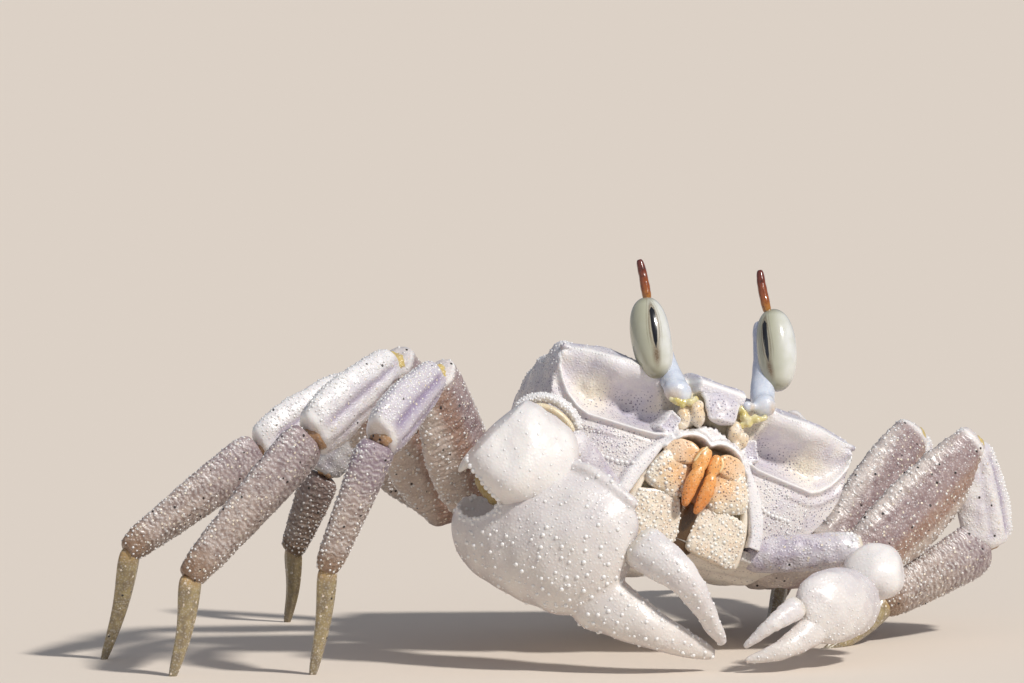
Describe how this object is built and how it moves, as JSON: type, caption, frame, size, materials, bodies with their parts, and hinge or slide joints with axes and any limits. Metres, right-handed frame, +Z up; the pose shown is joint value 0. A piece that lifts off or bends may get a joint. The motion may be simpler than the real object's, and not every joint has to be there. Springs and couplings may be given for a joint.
{
  "type": "horned ghost crab model",
  "caption": "Still life-size model of a horned ghost crab in a tilted stance, with tall eyes, folded claws and slender walking legs.",
  "frame": {"origin": "centre of the footprint, on the floor that the toes stand on", "axes": "+X towards the crab's left, -Y the way the crab faces, +Z up"},
  "size_m": [0.1142, 0.0874, 0.048],
  "materials": {
    "shell": "satin, white with lilac-grey tints and small dark purple dots",
    "belly_shell": "satin, cream white",
    "eye_stalk": "satin, pale blue grey",
    "cornea": "glossy, grey-green with a dark upright slit",
    "horn": "glossy, translucent red brown",
    "mouth_plate": "satin, cream to orange with purple dots and white pearls",
    "palp": "satin, orange",
    "feeler": "satin, cream",
    "claw_shell": "satin, pearly white and granular",
    "leg_shell": "satin, tan grey with purple brown",
    "toe": "satin, olive amber"
  },
  "bodies": {
    "root": {"sternum": "belly_shell", "abdomen": "belly_shell", "mouth_plate_lower_right": "mouth_plate", "mouth_plate_upper_right": "mouth_plate", "palp_right": "palp", "eye_stalk_right": "eye_stalk", "eye_right": "cornea", "eye_horn_right": "horn", "feelers_right": "feeler", "mouth_plate_lower_left": "mouth_plate", "mouth_plate_upper_left": "mouth_plate", "palp_left": "palp", "eye_stalk_left": "eye_stalk", "eye_left": "cornea", "eye_horn_left": "horn", "feelers_left": "feeler", "carapace": "shell", "claw_arm_right": "leg_shell", "claw_wrist_right": "claw_shell", "claw_hand_right": "claw_shell", "claw_finger_right": "claw_shell", "claw_arm_left": "leg_shell", "claw_wrist_left": "claw_shell", "claw_hand_left": "claw_shell", "claw_finger_left": "claw_shell", "leg2_right_merus": "leg_shell", "leg2_right_carpus": "claw_shell", "leg2_right_propodus": "leg_shell", "leg2_right_dactyl": "toe", "leg3_right_merus": "leg_shell", "leg3_right_carpus": "claw_shell", "leg3_right_propodus": "leg_shell", "leg3_right_dactyl": "toe", "leg4_right_merus": "leg_shell", "leg4_right_carpus": "claw_shell", "leg4_right_propodus": "leg_shell", "leg4_right_dactyl": "toe", "leg5_right_merus": "leg_shell", "leg5_right_carpus": "claw_shell", "leg5_right_propodus": "leg_shell", "leg5_right_dactyl": "toe", "leg2_left_merus": "leg_shell", "leg2_left_carpus": "claw_shell", "leg2_left_propodus": "leg_shell", "leg2_left_dactyl": "toe", "leg3_left_merus": "leg_shell", "leg3_left_carpus": "claw_shell", "leg3_left_propodus": "leg_shell", "leg3_left_dactyl": "toe", "leg4_left_merus": "leg_shell", "leg4_left_carpus": "claw_shell", "leg4_left_propodus": "leg_shell", "leg4_left_dactyl": "toe", "leg5_left_merus": "leg_shell", "leg5_left_carpus": "claw_shell", "leg5_left_propodus": "leg_shell", "leg5_left_dactyl": "toe"}
  },
  "joints": []
}
